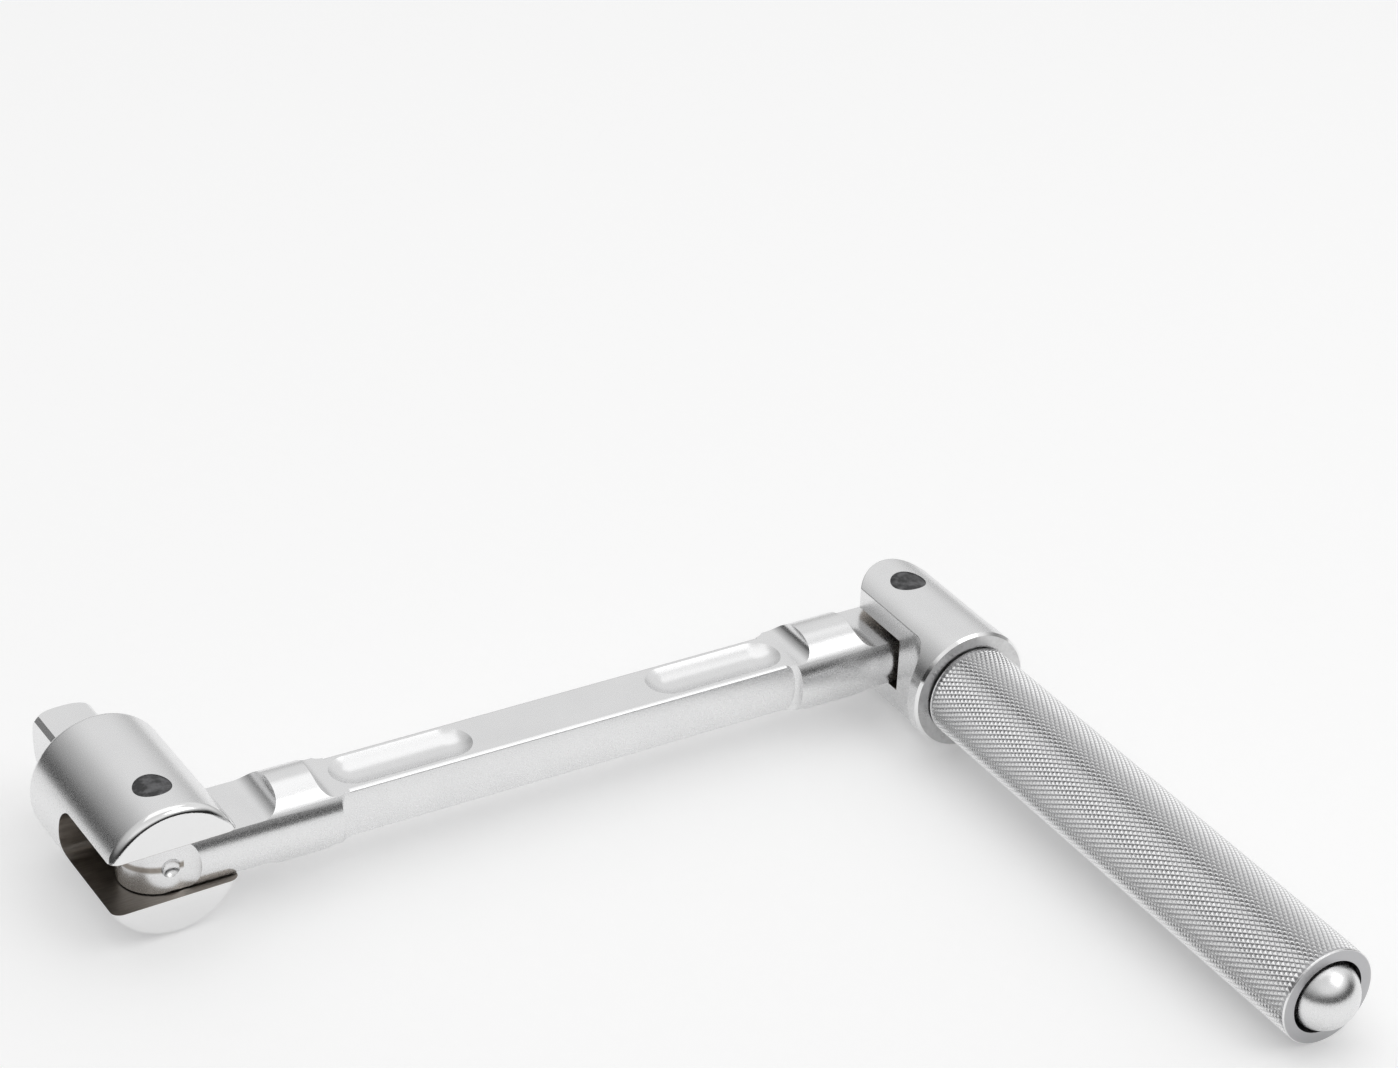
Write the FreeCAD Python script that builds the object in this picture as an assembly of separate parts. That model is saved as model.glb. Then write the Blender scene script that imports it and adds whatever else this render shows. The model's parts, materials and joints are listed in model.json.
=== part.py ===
import FreeCAD, Part
import math
import os

# Folding crank handle with a square drive.  All sizes are in millimetres.
#
# The model is laid out from the head pivot: that pin's axis is the working Z axis, the arm runs
# along +X to the handle pivot, the drive points along +Y and the handle along -Y.  main() then
# moves everything so that the origin is the middle of the bounding box's bottom face.

Vec = FreeCAD.Vector
X_AXIS = Vec(1, 0, 0)
Y_AXIS = Vec(0, 1, 0)
Z_AXIS = Vec(0, 0, 1)

# Pivots
pin_spacing = 180.0
pin_radius = 4.0
pin_end_recess = 0.15
pin_clearance = 0.05

# Drive head: a round body with a slot for the arm's tang, at rest a little past square to the arm
head_rest_turn = 1.9
head_radius = 15.05
head_front = 10.4
head_back = 30.0
head_rim_round = 2.1
head_back_round = 1.6
head_slot_height = 12.0
head_slot_depth = 13.7
head_slot_corner = 3.0

# Square drive
square_size = 12.7
square_tip = 48.5
square_edge_chamfer = 1.0
square_turned_radius = 8.6
square_tip_round = 3.0

# Arm; it lies a little below the middle of both forks, resting low in their slots
bar_radius = 9.65
arm_drop = 0.45
tang_thickness = 10.5
nose_radius = 8.3
nose_relief_end = 6.0
nose_relief_round = 4.0
head_flat_length = 20.0
handle_flat_length = 12.6
flat_run_out = 4.5
beam_start = 36.7
beam_end = 147.9
beam_width = 15.0
beam_height = 11.6
beam_side_bulge = 0.8
beam_flat_overlap = 3.4
beam_flat_run_out = 3.6
beam_side_run_out = 2.6
beam_side_inset = 0.6
beam_edge_round = 1.0
groove_width = 10.8
groove_depth = 1.9
head_groove_start = 38.6
head_groove_end = 70.8
handle_groove_start = 113.6
handle_groove_end = 146.2

# Handle fork
fork_radius = 14.1
fork_half_width = 8.6
fork_tip_radius = 10.4
fork_slot_height = 12.7
fork_slot_depth = 10.7
fork_slot_corner = 0.8
fork_side_end = 16.6
fork_side_round = 6.0
fork_edge_round = 0.4
flange_face = 26.3
flange_chamfer = 0.6

# Grip, turning on a spindle inside it
washer_thickness = 0.3
washer_radius = 10.0
grip_gap = 0.2
grip_radius = 10.8
grip_bore_radius = 8.2
grip_end = 149.3
grip_chamfer = 0.6
spindle_start = 17.5
spindle_seat_radius = 5.0
spindle_radius = 6.0
spindle_end = 138.0
bush_length = 10.0
bush_end_gap = 0.2
end_washer_thickness = 1.5
end_washer_radius = 7.8
button_radius = 7.3
button_rise = 5.8
button_thread_radius = 3.0
button_thread_length = 13.0

# Detents: a sprung plunger in each fork faces dimples round the arm's nose
dimple_sphere = 2.5
dimple_radius = 2.2
plunger_radius = 2.4
plunger_bore_clearance = 0.05
plunger_nose_gap = 0.05
head_plunger_length = 9.0
head_plunger_bore_end = 23.5
handle_plunger_length = 6.0
plunger_spring_wire = 0.35
head_plunger_spring_turns = 5
handle_plunger_spring_turns = 3

# Socket retaining ball, in the underside of the square
ball_radius = 2.0
ball_rise = 0.9
ball_place = 40.5
ball_bore_depth = 8.5
ball_bore_clearance = 0.05
ball_spring_wire = 0.3
ball_spring_turns = 5

spring_end_gap = 0.05
overrun = 1.0


def cylinder(radius, start, end, axis, centre=Vec(0, 0, 0)):
    """A round bar from start to end along an axis through a centre point."""
    return Part.makeCylinder(radius, end - start, centre + axis * start, axis)


def block(x0, x1, y0, y1, z0, z1):
    return Part.makeBox(x1 - x0, y1 - y0, z1 - z0, Vec(x0, y0, z0))


def edges_where(shape, test):
    """The edges whose middle points pass a test."""
    found = []
    for edge in shape.Edges:
        middle = edge.valueAt((edge.FirstParameter + edge.LastParameter) / 2)
        if test(edge, middle):
            found.append(edge)
    return found


def slot_cutter(reach, opening, depth, height, corner):
    """A flat slot along Y, open towards +Y at opening, its end at -depth with rounded corners."""
    slot = block(-reach, reach, -depth, opening, -height / 2, height / 2)
    ends = edges_where(slot, lambda e, m: abs(m.y + depth) < 1e-6 and abs(m.x) < 1e-6)
    return slot.makeFillet(corner, ends)


def coil_spring(radius, wire, turns, start, end, axis, centre):
    """A round-wire compression spring between two stations on an axis."""
    length = end - start - 2 * wire
    path = Part.makeHelix(length / turns, length, radius)
    section = Part.Wire(Part.Edge(Part.Circle(Vec(radius, 0, 0), Y_AXIS, wire)))
    coil = Part.Wire(path).makePipeShell([section], True, True)
    coil.Placement = FreeCAD.Placement(centre + axis * (start + wire), FreeCAD.Rotation(Z_AXIS, axis))
    return coil


def drive_head():
    body = cylinder(head_radius, -head_front, head_back, Y_AXIS)
    front = edges_where(body, lambda e, m: abs(m.y + head_front) < 1e-6)
    body = body.makeFillet(head_rim_round, front)
    back = edges_where(body, lambda e, m: abs(m.y - head_back) < 1e-6)
    body = body.makeFillet(head_back_round, back)
    body = body.fuse(drive_square()).removeSplitter()
    slot = slot_cutter(head_radius + overrun, head_front + overrun, head_slot_depth,
                       head_slot_height, head_slot_corner)
    slot.rotate(Vec(0, 0, 0), Z_AXIS, 180)
    body = body.cut(slot)
    body = body.cut(cylinder(pin_radius, -head_radius, head_radius, Z_AXIS))
    plunger_bore = cylinder(plunger_radius + plunger_bore_clearance, head_slot_depth - overrun,
                            head_plunger_bore_end, Y_AXIS)
    body = body.cut(plunger_bore)
    return body.cut(ball_bore())


def drive_square():
    half = square_size / 2
    square = block(-half, half, head_back - overrun, square_tip, -half, half)
    corners = edges_where(square, lambda e, m: abs(abs(m.x) - half) < 1e-6 and abs(abs(m.z) - half) < 1e-6)
    square = square.makeChamfer(square_edge_chamfer, corners)
    turned = cylinder(square_turned_radius, 0, square_tip, Y_AXIS)
    tip = edges_where(turned, lambda e, m: abs(m.y - square_tip) < 1e-6)
    return square.common(turned.makeFillet(square_tip_round, tip))


def ball_bore():
    radius = ball_radius + ball_bore_clearance
    bottom = square_size / 2
    return cylinder(radius, -bottom - overrun, ball_bore_depth - bottom, Z_AXIS, Vec(0, ball_place, 0))


def pivot_pin(x, body_radius):
    """A plain pin whose ends follow the round body that holds it, a little below its surface."""
    pin = cylinder(pin_radius, -body_radius, body_radius, Z_AXIS, Vec(x, 0, 0))
    envelope = cylinder(body_radius - pin_end_recess, -2 * pin_radius, 2 * pin_radius, Y_AXIS, Vec(x, 0, 0))
    return pin.common(envelope)


def arm():
    reach = nose_radius + overrun
    body = cylinder(bar_radius, -reach, pin_spacing + reach, X_AXIS)
    for side in (1, -1):
        body = body.cut(beam_flat_cutter(side))
        body = body.cut(beam_side_cutter(side))
    for side in (1, -1):
        body = body.cut(beam_edge_cutter(side, 1))
        body = body.cut(beam_edge_cutter(side, -1))
    for cutter in end_cutters(head_flat_length):
        body = body.cut(cutter)
    for cutter in end_cutters(handle_flat_length):
        body = body.cut(cutter.mirror(Vec(pin_spacing / 2, 0, 0), X_AXIS))
    for start, end in ((head_groove_start, head_groove_end), (handle_groove_start, handle_groove_end)):
        body = body.cut(groove(start, end, 1))
        body = body.cut(groove(start, end, -1))
    body.translate(Vec(0, 0, -arm_drop))
    return body


def beam_flat_cutter(side):
    """Mills a flat along the beam that sweeps up into the collars at both ends."""
    half = beam_height / 2
    reach = 2 * bar_radius
    start = beam_start - beam_flat_overlap
    end = beam_end + beam_flat_overlap
    cutter = block(start, end, -reach, reach, half, reach)
    roots = edges_where(cutter, lambda e, m: abs(m.y) < 1e-6 and abs(m.z - half) < 1e-6)
    cutter = cutter.makeFillet(beam_flat_run_out, roots)
    if side < 0:
        cutter = cutter.mirror(Vec(0, 0, 0), Z_AXIS)
    return cutter


def beam_side_cutter(side):
    """Mills a slightly bulging side along the beam, with its own sweep at both ends."""
    reach = 2 * bar_radius
    half_height = beam_height / 2
    corner = beam_width / 2 - beam_side_bulge
    bulge_radius = (half_height ** 2 + beam_side_bulge ** 2) / (2 * beam_side_bulge)
    start = beam_start + beam_side_inset
    end = beam_end - beam_side_inset
    cutter = block(start, end, corner, reach, -reach, reach)
    roots = edges_where(cutter, lambda e, m: abs(m.y - corner) < 1e-6 and abs(m.z) < 1e-6)
    cutter = cutter.makeFillet(beam_side_run_out, roots)
    bulge_axis = Vec(0, beam_width / 2 - bulge_radius, 0)
    cutter = cutter.cut(cylinder(bulge_radius, start - overrun, end + overrun, X_AXIS, bulge_axis))
    if side < 0:
        cutter = cutter.mirror(Vec(0, 0, 0), Y_AXIS)
    return cutter


def beam_edge_cutter(y_side, z_side):
    """Rounds one of the beam's four long edges, between the sweeps at its ends."""
    start = beam_start + beam_side_inset + beam_side_run_out
    end = beam_end - beam_side_inset - beam_side_run_out
    side_height = beam_height / 2 - beam_edge_round
    share = (2 * side_height / beam_height) ** 2
    side = beam_width / 2 - beam_side_bulge * share
    inner = side - beam_edge_round
    cutter = block(start, end, inner, side + overrun, side_height, side_height + 2 * overrun)
    axis = Vec(0, inner, side_height)
    cutter = cutter.cut(cylinder(beam_edge_round, start - overrun, end + overrun, X_AXIS, axis))
    if y_side < 0:
        cutter = cutter.mirror(Vec(0, 0, 0), Y_AXIS)
    if z_side < 0:
        cutter = cutter.mirror(Vec(0, 0, 0), Z_AXIS)
    return cutter


def groove(start, end, side):
    """A shallow round-bottomed groove with bullet ends in one of the beam's flat faces."""
    half = groove_width / 2
    radius = (half ** 2 + groove_depth ** 2) / (2 * groove_depth)
    height = side * (beam_height / 2 - groove_depth + radius)
    first = Vec(start + half, 0, height)
    last = Vec(end - half, 0, height)
    cutter = Part.makeCylinder(radius, last.x - first.x, first, X_AXIS)
    cutter = cutter.fuse(Part.makeSphere(radius, first))
    cutter = cutter.fuse(Part.makeSphere(radius, last))
    return cutter.removeSplitter()


def end_cutters(flat_length):
    """What is cut from the bar at the head end: two flats, the nose's sides, the pin hole, dimples."""
    cutters = [flat_cutter(flat_length, 1), flat_cutter(flat_length, -1)]
    cutters += [nose_cutter(1), nose_cutter(-1), nose_tip_cutter()]
    cutters.append(cylinder(pin_radius + pin_clearance, -bar_radius, bar_radius, Z_AXIS))
    offset = nose_radius + math.sqrt(dimple_sphere ** 2 - dimple_radius ** 2)
    for direction in (Vec(-1, 0, 0), Y_AXIS, -Y_AXIS):
        cutters.append(Part.makeSphere(dimple_sphere, direction * offset + Vec(0, 0, arm_drop)))
    return cutters


def flat_cutter(flat_length, side):
    """Leaves a flat on the tang's top or bottom that sweeps up to the collar."""
    half = tang_thickness / 2
    wall = flat_length + flat_run_out
    cutter = block(-2 * bar_radius, wall, -2 * bar_radius, 2 * bar_radius, half, 2 * bar_radius)
    root = edges_where(cutter, lambda e, m: abs(m.x - wall) < 1e-6 and abs(m.z - half) < 1e-6)
    cutter = cutter.makeFillet(flat_run_out, root)
    if side < 0:
        cutter = cutter.mirror(Vec(0, 0, 0), Z_AXIS)
    return cutter


def relief_centre():
    """Centre of the round that leads from the nose's disc out to the bar's side.

    It touches the disc from outside and passes through the end of the relief on the bar's side.
    """
    reach = nose_radius + nose_relief_round
    distance = math.hypot(nose_relief_end, bar_radius)
    towards = math.atan2(bar_radius, nose_relief_end)
    swing = math.acos((reach ** 2 + distance ** 2 - nose_relief_round ** 2) / (2 * reach * distance))
    return Vec(reach * math.cos(towards + swing), reach * math.sin(towards + swing), 0)


def nose_cutter(side):
    """Leaves the nose round about the pin, and runs out into the bar's side."""
    centre = relief_centre()
    touch = centre * (nose_radius / centre.Length)
    depth = bar_radius + overrun
    outside = block(-2 * bar_radius, touch.x, 0, 2 * bar_radius, -depth, depth)
    outside = outside.cut(cylinder(nose_radius, -2 * depth, 2 * depth, Z_AXIS))
    cutter = outside.fuse(cylinder(nose_relief_round, -depth, depth, Z_AXIS, centre))
    if side < 0:
        cutter = cutter.mirror(Vec(0, 0, 0), Y_AXIS)
    return cutter


def nose_tip_cutter():
    depth = bar_radius + overrun
    tip = block(-2 * bar_radius, 0, -bar_radius, bar_radius, -depth, depth)
    return tip.cut(cylinder(nose_radius, -2 * depth, 2 * depth, Z_AXIS))


def handle_fork():
    """Two ears with milled sides, running into a full-round flange; laid out about its own pin."""
    body = cylinder(fork_radius, -flange_face, fork_tip_radius, Y_AXIS)
    rim = edges_where(body, lambda e, m: abs(m.y + flange_face) < 1e-6)
    body = body.makeChamfer(flange_chamfer, rim)
    body = body.common(fork_outline())
    sides = edges_where(body, is_ear_edge)
    body = body.makeFillet(fork_edge_round, sides)
    slot = slot_cutter(fork_radius + overrun, fork_tip_radius + overrun, fork_slot_depth,
                       fork_slot_height, fork_slot_corner)
    body = body.cut(slot)
    body = body.cut(cylinder(pin_radius, -fork_radius, fork_radius, Z_AXIS))
    plunger_bore = cylinder(plunger_radius + plunger_bore_clearance, -spindle_start - overrun,
                            overrun - fork_slot_depth, Y_AXIS)
    body = body.cut(plunger_bore)
    spindle_seat = cylinder(spindle_seat_radius, -flange_face - overrun, -spindle_start, Y_AXIS)
    body = body.cut(spindle_seat)
    body.translate(Vec(pin_spacing, 0, 0))
    return body


def is_ear_edge(edge, middle):
    """True for the outer edges of the milled sides and the rounded tip."""
    on_round = abs(math.hypot(middle.x, middle.z) - fork_radius) < 1e-3
    return on_round and middle.y > -fork_side_end - fork_side_round + 1e-3 and edge.Length > 1.0


def fork_outline():
    """The fork's outline seen from above, as a tall prism."""
    reach = fork_radius + overrun
    half = fork_half_width
    tip_side = math.sqrt(fork_tip_radius ** 2 - half ** 2)
    turn = fork_side_round * math.sqrt(0.5)
    run_out = fork_side_end + fork_side_round
    wide = half + fork_side_round
    right = [Vec(half, tip_side, -reach), Vec(half, -fork_side_end, -reach), Vec(wide, -run_out, -reach)]
    left = [Vec(-p.x, p.y, p.z) for p in right]
    bend_right = Vec(wide - turn, turn - fork_side_end - 2 * turn, -reach)
    bend_left = Vec(-bend_right.x, bend_right.y, bend_right.z)
    base = -flange_face - overrun
    edges = [
        Part.Arc(left[0], Vec(0, fork_tip_radius, -reach), right[0]).toShape(),
        Part.LineSegment(right[0], right[1]).toShape(),
        Part.Arc(right[1], bend_right, right[2]).toShape(),
        Part.LineSegment(right[2], Vec(wide, base, -reach)).toShape(),
        Part.LineSegment(Vec(wide, base, -reach), Vec(-wide, base, -reach)).toShape(),
        Part.LineSegment(Vec(-wide, base, -reach), left[2]).toShape(),
        Part.Arc(left[2], bend_left, left[1]).toShape(),
        Part.LineSegment(left[1], left[0]).toShape(),
    ]
    return Part.Face(Part.Wire(edges)).extrude(Z_AXIS * (2 * reach))


def plunger(tip, length, direction):
    """A round plunger with a ball end at tip; its back lies length away along direction."""
    centre = tip + direction * plunger_radius
    body = Part.makeCylinder(plunger_radius, length - plunger_radius, centre, direction)
    return body.fuse(Part.makeSphere(plunger_radius, centre)).removeSplitter()


def head_plunger():
    return plunger(Vec(0, nose_radius + plunger_nose_gap, 0), head_plunger_length, Y_AXIS)


def head_plunger_spring():
    start = nose_radius + plunger_nose_gap + head_plunger_length + spring_end_gap
    end = head_plunger_bore_end - spring_end_gap
    return coil_spring(plunger_radius - 2 * plunger_spring_wire, plunger_spring_wire,
                       head_plunger_spring_turns, start, end, Y_AXIS, Vec(0, 0, 0))


def handle_plunger():
    tip = Vec(pin_spacing, -nose_radius - plunger_nose_gap, 0)
    return plunger(tip, handle_plunger_length, -Y_AXIS)


def handle_plunger_spring():
    start = nose_radius + plunger_nose_gap + handle_plunger_length + spring_end_gap
    end = spindle_start - spring_end_gap
    return coil_spring(plunger_radius - 2 * plunger_spring_wire, plunger_spring_wire,
                       handle_plunger_spring_turns, start, end, -Y_AXIS, Vec(pin_spacing, 0, 0))


def ball_centre_height():
    return ball_radius - ball_rise - square_size / 2


def socket_ball():
    return Part.makeSphere(ball_radius, Vec(0, ball_place, ball_centre_height()))


def socket_ball_spring():
    start = ball_centre_height() + ball_radius + spring_end_gap
    end = ball_bore_depth - square_size / 2 - spring_end_gap
    return coil_spring(ball_radius - 2 * ball_spring_wire, ball_spring_wire, ball_spring_turns,
                       start, end, Z_AXIS, Vec(0, ball_place, 0))


def handle_bar(radius, start, end):
    """A round bar on the handle's axis, between two distances from the handle pivot."""
    return cylinder(radius, start, end, -Y_AXIS, Vec(pin_spacing, 0, 0))


def spindle():
    body = handle_bar(spindle_radius, flange_face, spindle_end)
    body = body.fuse(handle_bar(spindle_seat_radius, spindle_start, flange_face)).removeSplitter()
    thread_start = spindle_end - button_thread_length - overrun
    return body.cut(handle_bar(button_thread_radius, thread_start, spindle_end))


def grip_start():
    return flange_face + washer_thickness + grip_gap


def thrust_washer():
    ring = handle_bar(washer_radius, flange_face, flange_face + washer_thickness)
    hole_end = flange_face + washer_thickness + overrun
    return ring.cut(handle_bar(spindle_radius + pin_clearance, flange_face - overrun, hole_end))


def grip_sleeve():
    tube = handle_bar(grip_radius, grip_start(), grip_end)
    rims = edges_where(tube, lambda e, m: min(abs(m.y + grip_start()), abs(m.y + grip_end)) < 1e-6)
    tube = tube.makeChamfer(grip_chamfer, rims)
    return tube.cut(handle_bar(grip_bore_radius, grip_start() - overrun, grip_end + overrun))


def bush(start):
    end = start + bush_length
    ring = handle_bar(grip_bore_radius, start, end)
    return ring.cut(handle_bar(spindle_radius + pin_clearance, start - overrun, end + overrun))


def front_bush():
    return bush(grip_start())


def rear_bush():
    return bush(spindle_end - bush_length - bush_end_gap)


def end_washer():
    end = spindle_end + end_washer_thickness
    ring = handle_bar(end_washer_radius, spindle_end, end)
    return ring.cut(handle_bar(button_thread_radius, spindle_end - overrun, end + overrun))


def end_button():
    """A domed screw: its shank holds it in the spindle and its head closes the grip's bore."""
    shank_end = -(spindle_end - button_thread_length)
    under = -(spindle_end + end_washer_thickness)
    rim = -grip_end
    top = Vec(0, rim - button_rise, 0)
    rim_point = Vec(button_radius, rim, 0)
    dome_radius = (button_radius ** 2 + button_rise ** 2) / (2 * button_rise)
    dome_centre = top.y + dome_radius
    slope = math.atan2(dome_centre - rim, button_radius) / 2 + math.pi / 4
    shoulder = Vec(dome_radius * math.cos(slope), dome_centre - dome_radius * math.sin(slope), 0)
    corners = [
        top,
        Vec(0, shank_end, 0),
        Vec(button_thread_radius, shank_end, 0),
        Vec(button_thread_radius, under, 0),
        Vec(button_radius, under, 0),
        rim_point,
    ]
    outline = [Part.LineSegment(a, b).toShape() for a, b in zip(corners, corners[1:])]
    outline.append(Part.Arc(rim_point, shoulder, top).toShape())
    button = Part.Face(Part.Wire(outline)).revolve(Vec(0, 0, 0), Y_AXIS, 360)
    button.translate(Vec(pin_spacing, 0, 0))
    return button


def turn_head(shape):
    shape.rotate(Vec(0, 0, 0), Z_AXIS, head_rest_turn)
    return shape


def origin_shift(shapes):
    """The move that puts the origin at the middle of the whole tool's bottom face."""
    box = Part.makeCompound(shapes).optimalBoundingBox(False, False)
    return Vec(-(box.XMin + box.XMax) / 2, -(box.YMin + box.YMax) / 2, -box.ZMin)


def main():
    pieces = {
        "drive_head": turn_head(drive_head()),
        "head_pin": turn_head(pivot_pin(0, head_radius)),
        "head_plunger": turn_head(head_plunger()),
        "head_plunger_spring": turn_head(head_plunger_spring()),
        "socket_ball": turn_head(socket_ball()),
        "socket_ball_spring": turn_head(socket_ball_spring()),
        "arm": arm(),
        "handle_fork": handle_fork(),
        "handle_pin": pivot_pin(pin_spacing, fork_radius),
        "handle_plunger": handle_plunger(),
        "handle_plunger_spring": handle_plunger_spring(),
        "spindle": spindle(),
        "thrust_washer": thrust_washer(),
        "end_washer": end_washer(),
        "end_button": end_button(),
        "grip_sleeve": grip_sleeve(),
        "front_bush": front_bush(),
        "rear_bush": rear_bush(),
    }
    shift = origin_shift([pieces["drive_head"], pieces["handle_fork"], pieces["end_button"]])
    print("origin shift", shift.x, shift.y, shift.z)
    os.makedirs("parts", exist_ok=True)
    for name, shape in pieces.items():
        shape.translate(shift)
        print(name, shape.isValid(), len(shape.Solids), round(shape.Volume, 1))
        shape.exportStep("parts/" + name + ".step")


main()
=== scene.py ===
import json
import math

import bmesh
import bpy
from mathutils import Matrix, Vector


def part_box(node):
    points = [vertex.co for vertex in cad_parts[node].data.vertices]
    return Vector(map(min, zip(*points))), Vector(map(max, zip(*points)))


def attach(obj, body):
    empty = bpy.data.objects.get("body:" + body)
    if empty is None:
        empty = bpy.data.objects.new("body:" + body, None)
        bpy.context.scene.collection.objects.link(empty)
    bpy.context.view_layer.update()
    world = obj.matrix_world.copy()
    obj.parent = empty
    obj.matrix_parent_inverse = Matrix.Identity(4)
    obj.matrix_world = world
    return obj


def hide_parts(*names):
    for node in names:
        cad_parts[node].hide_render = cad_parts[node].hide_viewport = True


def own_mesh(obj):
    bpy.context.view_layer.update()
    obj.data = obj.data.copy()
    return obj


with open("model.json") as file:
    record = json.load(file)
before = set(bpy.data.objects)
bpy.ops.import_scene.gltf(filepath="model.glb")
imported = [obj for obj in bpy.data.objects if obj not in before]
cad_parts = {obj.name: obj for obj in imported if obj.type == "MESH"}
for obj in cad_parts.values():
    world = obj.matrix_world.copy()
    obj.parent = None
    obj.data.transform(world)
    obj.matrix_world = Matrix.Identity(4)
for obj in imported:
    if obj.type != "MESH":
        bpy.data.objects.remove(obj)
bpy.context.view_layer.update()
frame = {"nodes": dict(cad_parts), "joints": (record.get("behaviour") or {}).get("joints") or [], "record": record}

MM = 0.001

# ------------------------------------------------------------------ places taken from the frame
joints = {joint["name"]: joint for joint in frame["joints"]}
head_pivot = Vector(joints["head_swing"]["pos_m"])
handle_pivot = Vector(joints["handle_swing"]["pos_m"])
centre_height = head_pivot.z
mounts = {mount["name"]: mount for mount in frame["record"]["mounts"]}
head_axis = Vector(mounts["drive_square"]["axis"])
HEAD_TURN = math.atan2(-head_axis.x, head_axis.y)


def low(node):
    return Vector(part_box(node)[0])


def high(node):
    return Vector(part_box(node)[1])


# ------------------------------------------------------------------ node material helpers
class Shader:
    """A material's node tree, with short calls for the nodes that the finishes share."""

    def __init__(self, name):
        self.material = bpy.data.materials.new(name)
        self.material.use_nodes = True
        self.tree = self.material.node_tree
        self.bsdf = self.tree.nodes["Principled BSDF"]
        coords = self.tree.nodes.new("ShaderNodeTexCoord")
        self.place = coords.outputs["Object"]

    def link(self, value, socket):
        """A number or colour is set on the socket, and another node's output is linked to it."""
        if isinstance(value, bpy.types.NodeSocket):
            self.tree.links.new(value, socket)
        else:
            socket.default_value = value

    def math(self, operation, *values):
        node = self.tree.nodes.new("ShaderNodeMath")
        node.operation = operation
        for value, socket in zip(values, node.inputs):
            self.link(value, socket)
        return node.outputs[0]

    def axes(self, origin, turn=0.0):
        """The shaded point's coordinates, in millimetres from an origin, in axes turned about Z."""
        move = self.tree.nodes.new("ShaderNodeVectorMath")
        move.operation = "SUBTRACT"
        self.link(self.place, move.inputs[0])
        move.inputs[1].default_value = origin
        scale = self.tree.nodes.new("ShaderNodeVectorMath")
        scale.operation = "SCALE"
        self.link(move.outputs[0], scale.inputs[0])
        scale.inputs["Scale"].default_value = 1 / MM
        rotate = self.tree.nodes.new("ShaderNodeVectorRotate")
        rotate.rotation_type = "Z_AXIS"
        self.link(scale.outputs[0], rotate.inputs["Vector"])
        rotate.inputs["Angle"].default_value = -turn
        split = self.tree.nodes.new("ShaderNodeSeparateXYZ")
        self.link(rotate.outputs[0], split.inputs[0])
        return split.outputs

    def stretched(self, scale):
        node = self.tree.nodes.new("ShaderNodeMapping")
        self.link(self.place, node.inputs["Vector"])
        node.inputs["Scale"].default_value = scale
        return node.outputs[0]

    def noise(self, scale, detail, roughness, vector=None):
        node = self.tree.nodes.new("ShaderNodeTexNoise")
        self.link(vector or self.place, node.inputs["Vector"])
        node.inputs["Scale"].default_value = scale
        node.inputs["Detail"].default_value = detail
        node.inputs["Roughness"].default_value = roughness
        return node.outputs["Fac"]

    def between(self, value, from_low, from_high, to_low, to_high):
        """Value's place between two numbers, carried over to two others and held there."""
        node = self.tree.nodes.new("ShaderNodeMapRange")
        for setting, socket in zip((value, from_low, from_high, to_low, to_high), node.inputs):
            self.link(setting, socket)
        return node.outputs[0]

    def mix(self, factor, first, second):
        """Between two numbers."""
        node = self.tree.nodes.new("ShaderNodeMix")
        node.data_type = "FLOAT"
        for value, index in ((factor, 0), (first, 2), (second, 3)):
            self.link(value, node.inputs[index])
        return node.outputs[0]

    def mix_colour(self, factor, first, second):
        node = self.tree.nodes.new("ShaderNodeMix")
        node.data_type = "RGBA"
        for value, index in ((factor, 0), (first, 6), (second, 7)):
            self.link(value, node.inputs[index])
        return node.outputs[2]

    def bump(self, height, strength, distance):
        node = self.tree.nodes.new("ShaderNodeBump")
        node.inputs["Strength"].default_value = strength
        node.inputs["Distance"].default_value = distance
        self.link(height, node.inputs["Height"])
        return node.outputs[0]

    def finish(self, colour, metallic, roughness, normal=None):
        self.link(colour, self.bsdf.inputs["Base Color"])
        self.link(metallic, self.bsdf.inputs["Metallic"])
        self.link(roughness, self.bsdf.inputs["Roughness"])
        if normal is not None:
            self.link(normal, self.bsdf.inputs["Normal"])
        return self.material


def grey(value):
    return (value, value, value, 1)


def give(node, material):
    """Puts one material on a CAD node."""
    slots = frame["nodes"][node].data.materials
    slots.clear()
    slots.append(material)


# ------------------------------------------------------------------ satin chrome
SATIN_LIGHT = (0.85, 0.85, 0.852, 1)
SATIN_DARK = (0.77, 0.77, 0.775, 1)
BUFFED = (0.86, 0.86, 0.86, 1)
BUFFED_ROUGHNESS = 0.10
# Painted dark reflection for the slot walls; the same colours mark the plunger's wear track on the arm's nose
REFLECTION_AND_WEAR_DARK = (0.20, 0.18, 0.16, 1)
REFLECTION_AND_WEAR_LIGHT = (0.46, 0.42, 0.38, 1)
MILLED_STROKES = (220.0, 2600.0, 900.0)
# A darker, mottled colour for the flange's face beside the grip
FACE_MOTTLE_SCALE = 420.0
FACE_MOTTLE_DARK = 0.42
FACE_MOTTLE_LIGHT = 0.86
# Noise scales are per metre: the grain is about 0.3 mm and the clouding about 10 mm
GRAIN_SCALE = 3200.0
CLOUD_SCALE = 90.0
GRAIN_DEPTH = 0.03 * MM
GRAIN_STRENGTH = 0.25


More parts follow.
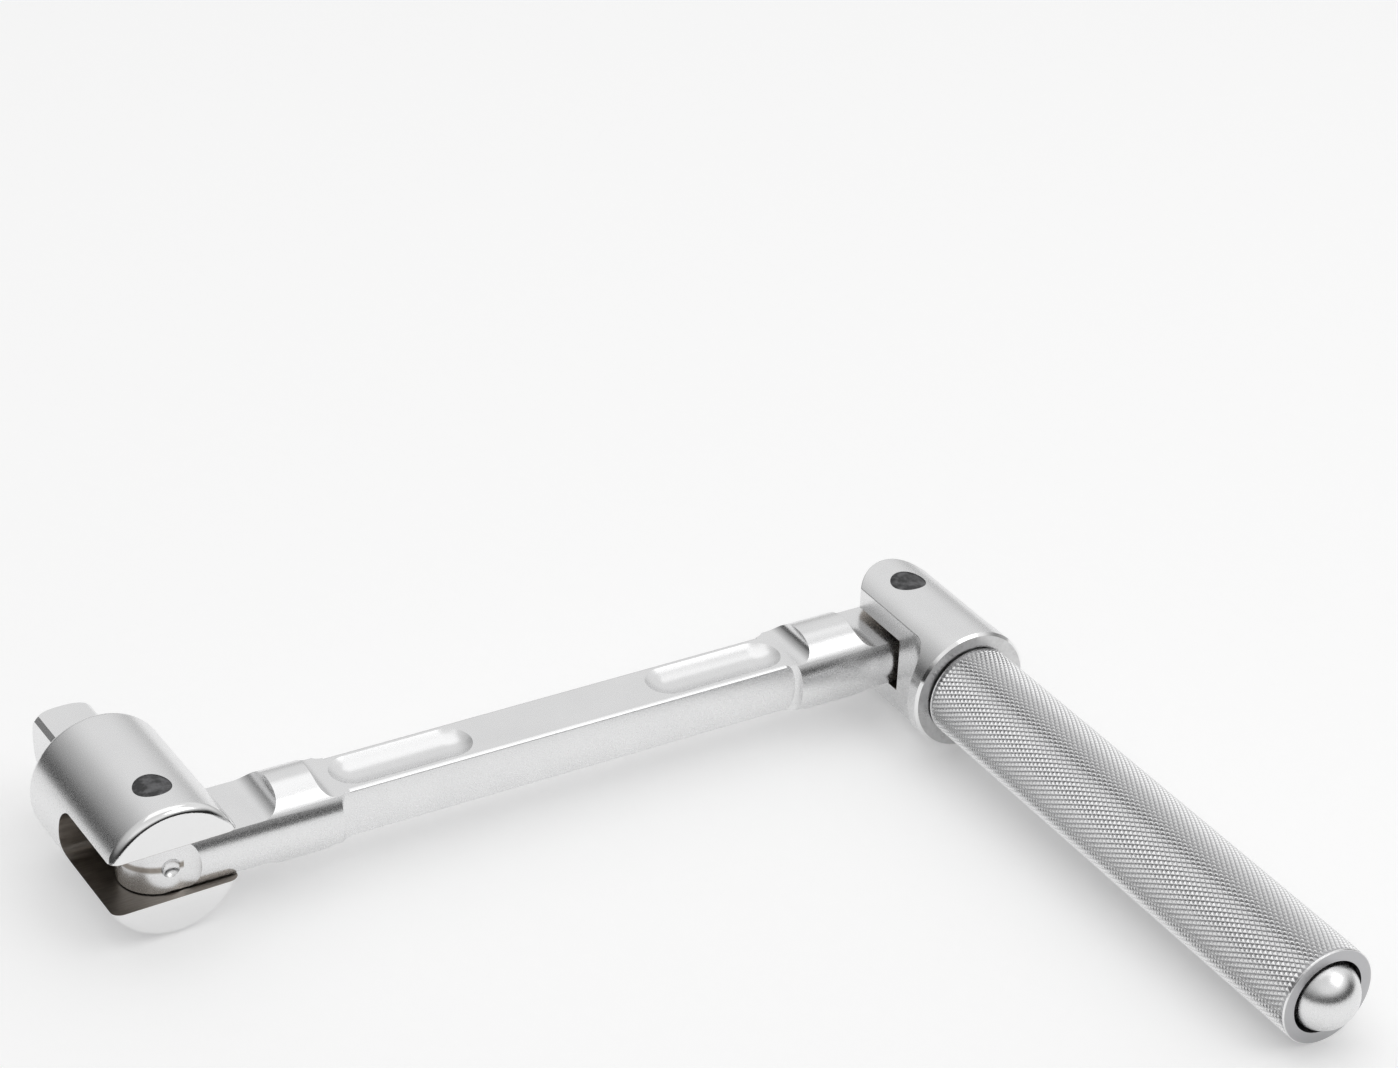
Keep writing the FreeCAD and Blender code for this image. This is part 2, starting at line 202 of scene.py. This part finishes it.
def satin(name, polished=None, dark_reflection_and_wear=None, darker_face=None):
    """Matt plated steel with a blasted grain.

    polished and the two arguments after it are functions that take the shader and return a mask from 0 to 1,
    for a buffed rim, for a painted dark reflection on a slot's milled walls (and for a wear track), and for a face
    made darker with mottling.
    """
    shader = Shader(name)
    grain = shader.noise(GRAIN_SCALE, 3.0, 0.6)
    cloud = shader.noise(CLOUD_SCALE, 3.0, 0.55)
    colour = shader.mix_colour(cloud, SATIN_DARK, SATIN_LIGHT)
    rough = shader.between(grain, 0.3, 0.7, 0.22, 0.30)
    height = grain
    if polished:
        mask = polished(shader)
        colour = shader.mix_colour(mask, colour, BUFFED)
        rough = shader.mix(mask, rough, BUFFED_ROUGHNESS)
    # Painted dark reflection on the slot walls, with milling marks; on the arm's nose, the wear track
    if dark_reflection_and_wear:
        mask = dark_reflection_and_wear(shader)
        strokes = shader.noise(1.0, 3.0, 0.6, shader.stretched(MILLED_STROKES))
        reflection_and_wear_colour = shader.mix_colour(strokes, REFLECTION_AND_WEAR_DARK, REFLECTION_AND_WEAR_LIGHT)
        colour = shader.mix_colour(mask, colour, reflection_and_wear_colour)
        rough = shader.mix(mask, rough, shader.between(strokes, 0.3, 0.7, 0.30, 0.42))
        height = shader.mix(mask, grain, strokes)
    # The flange face is made darker and mottled
    if darker_face:
        mask = darker_face(shader)
        face_mottle = shader.noise(FACE_MOTTLE_SCALE, 4.0, 0.7)
        face_colour = shader.mix_colour(face_mottle, grey(FACE_MOTTLE_DARK), grey(FACE_MOTTLE_LIGHT))
        colour = shader.mix_colour(mask, colour, face_colour)
        rough = shader.mix(mask, rough, shader.between(face_mottle, 0.3, 0.7, 0.24, 0.40))
    return shader.finish(colour, 1.0, rough, shader.bump(height, GRAIN_STRENGTH, GRAIN_DEPTH))


def below(shader, value, limit, soft):
    """1 where value is under limit, falling to 0 over the soft distance."""
    return shader.between(value, limit - soft, limit, 1.0, 0.0)


def above(shader, value, limit, soft):
    return shader.between(value, limit, limit + soft, 0.0, 1.0)


def both(shader, first, second):
    return shader.math("MULTIPLY", first, second)


def radius_of(shader, first, second):
    squares = [shader.math("MULTIPLY", value, value) for value in (first, second)]
    return shader.math("SQRT", shader.math("ADD", *squares))


# Distances for the masks, in millimetres
HEAD_RADIUS = (high("drive_head").z - low("drive_head").z) / 2 / MM
HEAD_FRONT = 10.4
HEAD_RIM = 2.1
RIM_SOFT = 0.2
HEAD_SLOT_HALF = 6.0
HEAD_SLOT_END = 13.7
FORK_RADIUS = (high("handle_fork").z - low("handle_fork").z) / 2 / MM
FORK_FACE = (handle_pivot.y - low("handle_fork").y) / MM
FORK_SLOT_HALF = 6.35
FORK_SLOT_END = 10.7
ARM_NOSE = 8.3
FLANGE_RIM = 0.65
FLANGE_RIM_SOFT = 0.1
FACE_SKIN = 0.03
FACE_SOFT = 0.02
TRACK_SKIN = 0.2
TRACK_SKIN_SOFT = 0.05
TRACK_HALF = 1.0
TRACK_HALF_SOFT = 0.6
WALL_MARGIN = 0.06
WALL_SKIN = 0.04
WALL_SOFT = 0.03


def head_rim(shader):
    y = shader.axes(head_pivot, HEAD_TURN)[1]
    return below(shader, y, HEAD_RIM - HEAD_FRONT, RIM_SOFT)


def slot_walls(origin, turn, half, end, outside, back):
    """A mask for the inner faces of a fork's slot; back is +1 where the slot's end is towards +Y."""

    def mask(shader):
        x, y, z = shader.axes(origin, turn)
        inside = below(shader, shader.math("ABSOLUTE", z), half + WALL_MARGIN, WALL_SOFT)
        depth = shader.math("MULTIPLY", y, back)
        deep = below(shader, depth, end + WALL_MARGIN, WALL_SOFT)
        skin = below(shader, radius_of(shader, x, z), outside - WALL_SKIN, WALL_SOFT)
        return both(shader, both(shader, inside, deep), skin)

    return mask


def flange_rim(shader):
    x, y, z = shader.axes(handle_pivot)
    near_rim = above(shader, radius_of(shader, x, z), FORK_RADIUS - FLANGE_RIM, FLANGE_RIM_SOFT)
    return both(shader, near_rim, below(shader, y, FLANGE_RIM - FORK_FACE, FLANGE_RIM_SOFT))


def flange_face(shader):
    y = shader.axes(handle_pivot)[1]
    return below(shader, y, FACE_SKIN - FORK_FACE, FACE_SOFT)


def nose_track(shader):
    """The line that the detent plunger wears round the arm's nose."""
    x, y, z = shader.axes(head_pivot)
    from_nose = shader.math("ABSOLUTE", shader.math("SUBTRACT", radius_of(shader, x, y), ARM_NOSE))
    from_middle = shader.math("ABSOLUTE", z)
    near_surface = below(shader, from_nose, TRACK_SKIN, TRACK_SKIN_SOFT)
    return both(shader, near_surface, below(shader, from_middle, TRACK_HALF, TRACK_HALF_SOFT))


# ------------------------------------------------------------------ other finishes
OXIDE_DARK = (0.022, 0.022, 0.023, 1)
OXIDE_LIGHT = (0.07, 0.07, 0.072, 1)
OXIDE_SMEAR = (0.15, 0.15, 0.155, 1)
OXIDE_METALLIC = 0.75
OXIDE_SCALE = 1900.0
SMEAR_SCALE = 420.0
BRONZE_DARK = (0.36, 0.22, 0.09, 1)
BRONZE_LIGHT = (0.62, 0.43, 0.20, 1)
PORE_SCALE = 2600.0
# The steels' fine lines are noise too, with one scale for each axis
GROUND_LINES = (900.0, 900.0, 900.0)
SPRING_LINES = (1800.0, 1800.0, 1800.0)


def black_oxide(name):
    shader = Shader(name)
    turned = shader.noise(OXIDE_SCALE, 3.0, 0.65)
    smear = shader.between(shader.noise(SMEAR_SCALE, 3.0, 0.6), 0.42, 0.62, 0.0, 1.0)
    dark = shader.mix_colour(turned, OXIDE_DARK, OXIDE_LIGHT)
    colour = shader.mix_colour(smear, dark, OXIDE_SMEAR)
    rough = shader.between(smear, 0.0, 1.0, 0.34, 0.50)
    return shader.finish(colour, OXIDE_METALLIC, rough, shader.bump(turned, 0.25, 0.02 * MM))


def ground_steel(name, dark, light, rough_low, rough_high, stretch):
    shader = Shader(name)
    lines = shader.noise(1.0, 3.0, 0.6, shader.stretched(stretch))
    colour = shader.mix_colour(lines, dark, light)
    rough = shader.between(lines, 0.3, 0.7, rough_low, rough_high)
    return shader.finish(colour, 1.0, rough, shader.bump(lines, 0.15, 0.01 * MM))


def sintered_bronze(name):
    shader = Shader(name)
    pores = shader.noise(PORE_SCALE, 4.0, 0.7)
    colour = shader.mix_colour(pores, BRONZE_DARK, BRONZE_LIGHT)
    rough = shader.between(pores, 0.3, 0.7, 0.32, 0.50)
    return shader.finish(colour, 1.0, rough, shader.bump(pores, 0.3, 0.02 * MM))


# ------------------------------------------------------------------ materials on the CAD nodes
# The slot masks put a painted dark reflection on the slots' inner walls
head_slot = slot_walls(head_pivot, HEAD_TURN, HEAD_SLOT_HALF, HEAD_SLOT_END, HEAD_RADIUS, 1.0)
fork_slot = slot_walls(handle_pivot, 0.0, FORK_SLOT_HALF, FORK_SLOT_END, FORK_RADIUS, -1.0)
give("drive_head", satin("satin_chrome_head", polished=head_rim, dark_reflection_and_wear=head_slot))
give("arm", satin("satin_chrome_arm", dark_reflection_and_wear=nose_track))
give("handle_fork", satin("satin_chrome_fork", polished=flange_rim, dark_reflection_and_wear=fork_slot,
                          darker_face=flange_face))
give("end_button", satin("satin_chrome_button"))

oxide = black_oxide("black_oxide")
for node in ("head_pin", "handle_pin", "thrust_washer", "end_washer"):
    give(node, oxide)

hardened = ground_steel("hardened_steel", grey(0.42), grey(0.62), 0.18, 0.30, GROUND_LINES)
for node in ("head_plunger", "handle_plunger", "socket_ball", "spindle"):
    give(node, hardened)

spring_steel = ground_steel("spring_steel", grey(0.28), grey(0.46), 0.26, 0.40, SPRING_LINES)
for node in ("head_plunger_spring", "handle_plunger_spring", "socket_ball_spring"):
    give(node, spring_steel)

bronze = sintered_bronze("sintered_bronze")
for node in ("front_bush", "rear_bush"):
    give(node, bronze)

# ------------------------------------------------------------------ knurled grip
KNURL_STARTS = 60
KNURL_ANGLE = math.radians(30)
KNURL_DEPTH = 0.34 * MM
KNURL_FLAT = 0.24
KNURL_FRONT_BAND = 0.3 * MM
KNURL_END_BAND = 0.55 * MM
KNURL_LIP = 0.15 * MM
END_CHAMFER = 0.12 * MM
END_RELIEF = 0.05 * MM
GRIP_CLOUD_SCALE = 70.0
# Painted shade down in the knurl's grooves
GROOVE_SHADE = (0.50, 0.50, 0.51, 1)
CREST_DULL = (0.86, 0.86, 0.865, 1)
CREST_BRIGHT = (0.94, 0.94, 0.94, 1)

grip_low = low("grip_sleeve")
grip_high = high("grip_sleeve")
grip_radius = (grip_high.x - grip_low.x) / 2
grip_bore = (high("front_bush").x - low("front_bush").x) / 2
grip_front = grip_high.y
grip_back = grip_low.y


def on_grip(radius, turn, y):
    """A point on the grip: turn counts knurl pitches round its axis."""
    angle = 2 * math.pi * turn / KNURL_STARTS
    return Vector((handle_pivot.x + radius * math.cos(angle), y,
                   centre_height + radius * math.sin(angle)))


def ring(mesh, radius, y, offset=0.0):
    return [mesh.verts.new(on_grip(radius, offset + i, y)) for i in range(KNURL_STARTS)]


def band(mesh, first, second):
    count = len(first)
    for i in range(count):
        j = (i + 1) % count
        mesh.faces.new((first[i], first[j], second[j], second[i]))


def knurled_sleeve():
    """A tube with real diamond knurling: each diamond is a blunt pyramid between crossing grooves."""
    mesh = bmesh.new()
    pitch = 2 * math.pi * grip_radius / KNURL_STARTS
    front = grip_front - KNURL_FRONT_BAND
    back = grip_back + KNURL_END_BAND
    rows = 2 * round((front - back) / (pitch / math.tan(KNURL_ANGLE)))
    row_step = (front - back) / rows
    valley = grip_radius - KNURL_DEPTH
    # Valley crossings sit half a pitch apart on alternate rows
    crossings = [ring(mesh, valley, front - row_step * k, 0.5 * (k % 2)) for k in range(rows + 1)]
    for k in range(rows - 1):
        shift = k % 2
        for i in range(KNURL_STARTS):
            left = crossings[k + 1][(i - 1 + shift) % KNURL_STARTS]
            right = crossings[k + 1][(i + shift) % KNURL_STARTS]
            diamond(mesh, crossings[k][i], right, crossings[k + 2][i], left,
                    i + 0.5 * shift, front - row_step * (k + 1), row_step)
    close_row(mesh, crossings[0], crossings[1])
    close_row(mesh, crossings[rows], crossings[rows - 1])
    sleeve_ends(mesh, crossings[0], crossings[rows], front, back)
    bmesh.ops.recalc_face_normals(mesh, faces=mesh.faces)
    data = bpy.data.meshes.new("knurled_sleeve")
    mesh.to_mesh(data)
    mesh.free()
    sleeve = bpy.data.objects.new("knurled_sleeve", data)
    bpy.context.scene.collection.objects.link(sleeve)
    return sleeve


def diamond(mesh, top, right, bottom, left, turn, y, row_step):
    """A blunt pyramid over the four valley crossings round it."""
    flat_turn = 0.5 * KNURL_FLAT
    flat_row = row_step * KNURL_FLAT
    crest = [
        mesh.verts.new(on_grip(grip_radius, turn, y + flat_row)),
        mesh.verts.new(on_grip(grip_radius, turn + flat_turn, y)),
        mesh.verts.new(on_grip(grip_radius, turn, y - flat_row)),
        mesh.verts.new(on_grip(grip_radius, turn - flat_turn, y)),
    ]
    corners = (top, right, bottom, left)
    for i in range(4):
        j = (i + 1) % 4
        mesh.faces.new((corners[i], corners[j], crest[j], crest[i]))
    mesh.faces.new(crest)


def close_row(mesh, edge_row, inner_row):
    """Half diamonds where the knurling stops; both end rows have their points on whole pitches."""
    for i in range(KNURL_STARTS):
        mesh.faces.new((edge_row[i], edge_row[(i + 1) % KNURL_STARTS], inner_row[i]))


def sleeve_ends(mesh, front_row, back_row, front, back):
    """Smooth end bands, chamfers, end faces and the plain bore."""
    outer = grip_radius - END_RELIEF
    chain = [
        front_row,
        ring(mesh, outer, front + KNURL_LIP),
        ring(mesh, outer, grip_front - END_CHAMFER),
        ring(mesh, outer - END_CHAMFER, grip_front),
        ring(mesh, grip_bore, grip_front),
        ring(mesh, grip_bore, grip_back),
        ring(mesh, outer - END_CHAMFER, grip_back),
        ring(mesh, outer, grip_back + END_CHAMFER),
        ring(mesh, outer, back - KNURL_LIP),
        back_row,
    ]
    for first, second in zip(chain, chain[1:]):
        band(mesh, first, second)


def knurl_finish(name):
    """Satin plate, with painted shade down in the grooves and buffed on the crests."""
    shader = Shader(name)
    x, _, z = shader.axes(handle_pivot)
    radius = radius_of(shader, x, z)
    valley = (grip_radius - KNURL_DEPTH) / MM
    crest = grip_radius / MM
    height = shader.between(radius, valley, crest, 0.0, 1.0)
    grain = shader.noise(GRAIN_SCALE, 2.0, 0.6)
    cloud = shader.noise(GRIP_CLOUD_SCALE, 2.0, 0.5)
    worn = shader.mix_colour(cloud, CREST_DULL, CREST_BRIGHT)
    colour = shader.mix_colour(shader.between(height, 0.0, 0.55, 0.0, 1.0), GROOVE_SHADE, worn)
    rough = shader.mix(height, 0.34, 0.24)
    return shader.finish(colour, 1.0, rough, shader.bump(grain, 0.06, 0.02 * MM))


sleeve = knurled_sleeve()
sleeve.data.materials.append(knurl_finish("knurled_chrome"))
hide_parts("grip_sleeve")
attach(sleeve, "grip")

# ------------------------------------------------------------------ springs carried on the bodies
def live_spring(node, body, name):
    """A copy of a spring, in a mesh of its own, that moves with a body."""
    source = frame["nodes"][node]
    spring = bpy.data.objects.new(name, source.data.copy())
    spring.matrix_world = source.matrix_world.copy()
    bpy.context.scene.collection.objects.link(spring)
    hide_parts(node)
    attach(spring, body)
    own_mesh(spring)


live_spring("head_plunger_spring", "head", "head_spring_coil")
live_spring("handle_plunger_spring", "handle", "handle_spring_coil")
live_spring("socket_ball_spring", "head", "ball_spring_coil")

# ------------------------------------------------------------------ floor
FLOOR_SIZE = 12.0
FLOOR_GAP = 0.02 * MM
RIM_CHAMFER = 0.6 * MM
# Painted fill light: the floor glows, though it is no lamp, to lift its shadows
PAINTED_FILL_GLOW = 0.22
FIBRE_SCALE = 300.0


def floor_plane():
    """The plane touching the head's front edge, the flange and the far end of the grip."""
    head_front = head_pivot.y - (HEAD_FRONT - HEAD_RIM) * MM
    flange_front = low("handle_fork").y + RIM_CHAMFER
    grip_end = low("grip_sleeve").y + RIM_CHAMFER
    head_point = Vector((head_pivot.x, head_front, low("drive_head").z))
    flange_point = Vector((handle_pivot.x, flange_front, low("handle_fork").z))
    grip_point = Vector((handle_pivot.x, grip_end, low("grip_sleeve").z))
    normal = (flange_point - head_point).cross(grip_point - head_point).normalized()
    if normal.z < 0:
        normal.negate()
    return (head_point + flange_point + grip_point) / 3 - normal * FLOOR_GAP, normal


def floor_under_tool():
    """A wide flat sheet under the whole tool."""
    middle, normal = floor_plane()
    along = Vector((1, 0, 0))
    along = (along - normal * along.dot(normal)).normalized()
    across = normal.cross(along)
    half = FLOOR_SIZE / 2
    signs = ((-1, -1), (1, -1), (1, 1), (-1, 1))
    corners = [middle + along * a * half + across * b * half for a, b in signs]
    data = bpy.data.meshes.new("floor")
    data.from_pydata([tuple(corner) for corner in corners], [], [(0, 1, 2, 3)])
    floor = bpy.data.objects.new("floor", data)
    bpy.context.scene.collection.objects.link(floor)
    return floor


def paper(name):
    """Pale paper that glows with painted light, though it is no lamp, which keeps the shadows light."""
    shader = Shader(name)
    shader.bsdf.inputs["Emission Color"].default_value = grey(1.0)
    shader.bsdf.inputs["Emission Strength"].default_value = PAINTED_FILL_GLOW
    fibre = shader.noise(FIBRE_SCALE, 3.0, 0.6)
    colour = shader.mix_colour(fibre, grey(0.88), grey(0.90))
    return shader.finish(colour, 0.0, 0.75)


floor = floor_under_tool()
floor.data.materials.append(paper("paper"))

# ------------------------------------------------------------------ light
WORLD_STRENGTH = 1.02
# Grey levels of the tent against the sine of the height above the horizon
RIGHT_SKY = ((0.0, 0.01), (0.30, 0.02), (0.42, 0.38), (0.58, 0.90), (0.76, 0.84), (1.0, 0.68))
LEFT_SKY = ((0.0, 0.05), (0.20, 0.07), (0.38, 0.30), (0.59, 0.54), (0.77, 0.66), (1.0, 0.68))
BACK_SKY = ((0.0, 0.50), (0.12, 0.55), (0.30, 0.74), (0.50, 0.84), (1.0, 0.72))
# Level directions of the left and back sides, seen from the camera
LEFT_SIDE = (-0.92, 0.39, 0)
BACK_SIDE = (0.71, 0.71, 0)
KEY_PLACE = (0.55, -0.55, 1.04)
FILL_PLACE = (0.1, 0.3, 1.3)
TOOL_PLACE = (0, 0, 0)


def studio_world():
    """A light tent, open low down, that brightens slowly upwards on the left and fast on the right."""
    world = bpy.data.worlds.new("studio")
    world.use_nodes = True
    tree = world.node_tree
    background = tree.nodes["Background"]
    coords = tree.nodes.new("ShaderNodeTexCoord")
    split = tree.nodes.new("ShaderNodeSeparateXYZ")
    tree.links.new(coords.outputs["Generated"], split.inputs[0])
    skies = (RIGHT_SKY, LEFT_SKY, BACK_SKY)
    right_sky, left_sky, back_sky = [sky_ramp(tree, split.outputs["Z"], stops) for stops in skies]
    left = towards(tree, coords.outputs["Generated"], LEFT_SIDE, 0.1, 0.7)
    back = towards(tree, coords.outputs["Generated"], BACK_SIDE, 0.3, 0.8)
    sides = blend(tree, left, right_sky, left_sky)
    tree.links.new(blend(tree, back, sides, back_sky), background.inputs["Color"])
    background.inputs["Strength"].default_value = WORLD_STRENGTH
    bpy.context.scene.world = world


def towards(tree, direction, side, start, full):
    """How far a direction points to one side, from 0 to 1."""
    dot = tree.nodes.new("ShaderNodeVectorMath")
    dot.operation = "DOT_PRODUCT"
    dot.inputs[1].default_value = side
    tree.links.new(direction, dot.inputs[0])
    share = tree.nodes.new("ShaderNodeMapRange")
    share.interpolation_type = "SMOOTHSTEP"
    share.inputs["From Min"].default_value = start
    share.inputs["From Max"].default_value = full
    tree.links.new(dot.outputs["Value"], share.inputs["Value"])
    return share.outputs[0]


def blend(tree, share, first, second):
    mix = tree.nodes.new("ShaderNodeMix")
    mix.data_type = "RGBA"
    for value, index in ((share, 0), (first, 6), (second, 7)):
        tree.links.new(value, mix.inputs[index])
    return mix.outputs[2]


def sky_ramp(tree, height, stops):
    """Grey levels by the sine of the height above the horizon."""
    node = tree.nodes.new("ShaderNodeValToRGB")
    tree.links.new(height, node.inputs["Fac"])
    elements = node.color_ramp.elements
    elements[0].position, elements[1].position = stops[0][0], stops[-1][0]
    elements[0].color, elements[1].color = grey(stops[0][1]), grey(stops[-1][1])
    for position, value in stops[1:-1]:
        elements.new(position).color = grey(value)
    return node.outputs["Color"]


def softbox(name, place, width, height, power):
    data = bpy.data.lights.new(name, "AREA")
    data.shape = "RECTANGLE"
    data.size = width
    data.size_y = height
    data.energy = power
    lamp = bpy.data.objects.new(name, data)
    lamp.location = place
    aim = Vector(TOOL_PLACE) - Vector(place)
    lamp.rotation_euler = aim.to_track_quat("-Z", "Y").to_euler()
    bpy.context.scene.collection.objects.link(lamp)


studio_world()
softbox("key_right", KEY_PLACE, width=0.8, height=0.6, power=1.5)
softbox("fill_top", FILL_PLACE, width=1.2, height=1.0, power=1.7)

# ------------------------------------------------------------------ camera
CAMERA_OFFSET = Vector((-196.9, -531.5, 397.3)) * MM
CAMERA_YAW = math.radians(31.20)
CAMERA_PITCH = math.radians(29.88)
CAMERA_ROLL = math.radians(2.22)
SENSOR_WIDTH = 36.0
FOCAL_LENGTH = 87.05
CLIP_START = 0.01
CLIP_END = 20.0


def photo_camera():
    forward = Vector((math.sin(CAMERA_YAW) * math.cos(CAMERA_PITCH),
                      math.cos(CAMERA_YAW) * math.cos(CAMERA_PITCH), -math.sin(CAMERA_PITCH)))
    level = Vector((math.cos(CAMERA_YAW), -math.sin(CAMERA_YAW), 0))
    upright = level.cross(forward)
    right = level * math.cos(CAMERA_ROLL) + upright * math.sin(CAMERA_ROLL)
    up = upright * math.cos(CAMERA_ROLL) - level * math.sin(CAMERA_ROLL)
    data = bpy.data.cameras.new("camera")
    data.sensor_width = SENSOR_WIDTH
    data.lens = FOCAL_LENGTH
    data.clip_start = CLIP_START
    data.clip_end = CLIP_END
    camera = bpy.data.objects.new("camera", data)
    turn = Matrix((right, up, -forward)).transposed().to_4x4()
    camera.matrix_world = Matrix.Translation(head_pivot + CAMERA_OFFSET) @ turn
    bpy.context.scene.collection.objects.link(camera)
    bpy.context.scene.camera = camera


photo_camera()
bpy.context.scene.view_settings.view_transform = "Standard"
